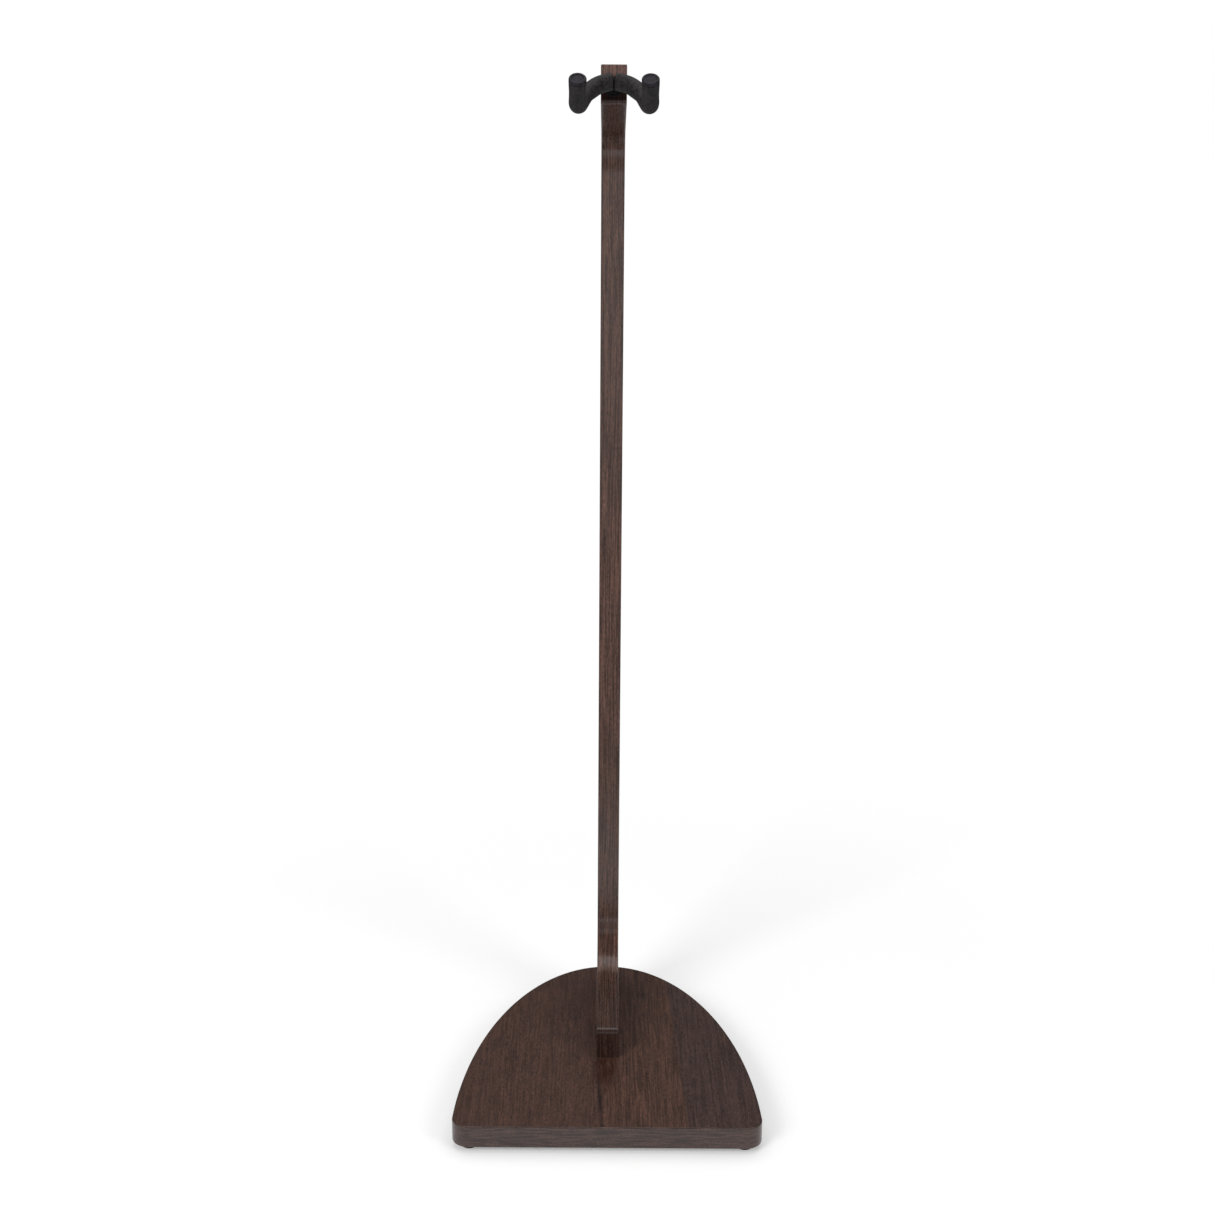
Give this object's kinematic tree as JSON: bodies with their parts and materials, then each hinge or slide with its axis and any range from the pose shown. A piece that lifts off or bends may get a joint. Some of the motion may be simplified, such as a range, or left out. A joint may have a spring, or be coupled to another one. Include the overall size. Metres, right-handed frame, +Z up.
{
  "type": "floor guitar stand",
  "caption": "Free-standing guitar stand: D-shaped base board, C-shaped wooden upright and a padded swivelling neck yoke at the end of its top arm.",
  "frame": {"origin": "on the floor, at the centre of the plan box of the base board", "axes": "+Z up along the upright, -Y towards the front of the stand, +X to the right as seen from the front"},
  "size_m": [0.3376, 0.364, 1.128],
  "materials": {
    "base_veneer": "satin lacquered dark veneer, grain front to back",
    "edge_band": "satin dark edge band, grain along the edge",
    "upright_veneer": "satin lacquered dark veneer, upright grain",
    "upright_band": "satin dark edge band, grain along the edge",
    "foot_rubber": "matte moulded rubber",
    "zinc_steel": "zinc plated",
    "black_steel": "black oxide, low sheen",
    "insert_brass": "plain turned brass",
    "dowel_beech": "bare beech",
    "bearing_plastic": "black bearing plastic",
    "sleeve_rubber": "matte, finely pebbled padded rubber",
    "cap_rubber": "matte moulded rubber"
  },
  "bodies": {
    "stand": {"base_board": "base_veneer", "base_edge_band": "edge_band", "upright_board": "upright_veneer", "upright_edge_band": "upright_band", "front_left_foot": "foot_rubber", "front_right_foot": "foot_rubber", "rear_left_foot": "foot_rubber", "rear_right_foot": "foot_rubber", "foot_screws": "zinc_steel", "upright_bolts": "black_steel", "bolt_washers": "zinc_steel", "bolt_inserts": "insert_brass", "locating_dowels": "dowel_beech", "stem_socket": "black_steel", "stem_liner": "bearing_plastic", "thrust_washer": "bearing_plastic"},
    "yoke": {"swivel_stem": "black_steel", "rear_washer": "zinc_steel", "lock_nut": "zinc_steel", "yoke_rod": "black_steel", "left_sleeve": "sleeve_rubber", "right_sleeve": "sleeve_rubber", "left_cap": "cap_rubber", "right_cap": "cap_rubber"}
  },
  "joints": [
    {"name": "yoke_swivel", "type": "hinge", "parent": "stand", "child": "yoke", "pos_m": [0, -0.0825, 1.107], "axis": [0, -1, 0], "continuous": true}
  ]
}
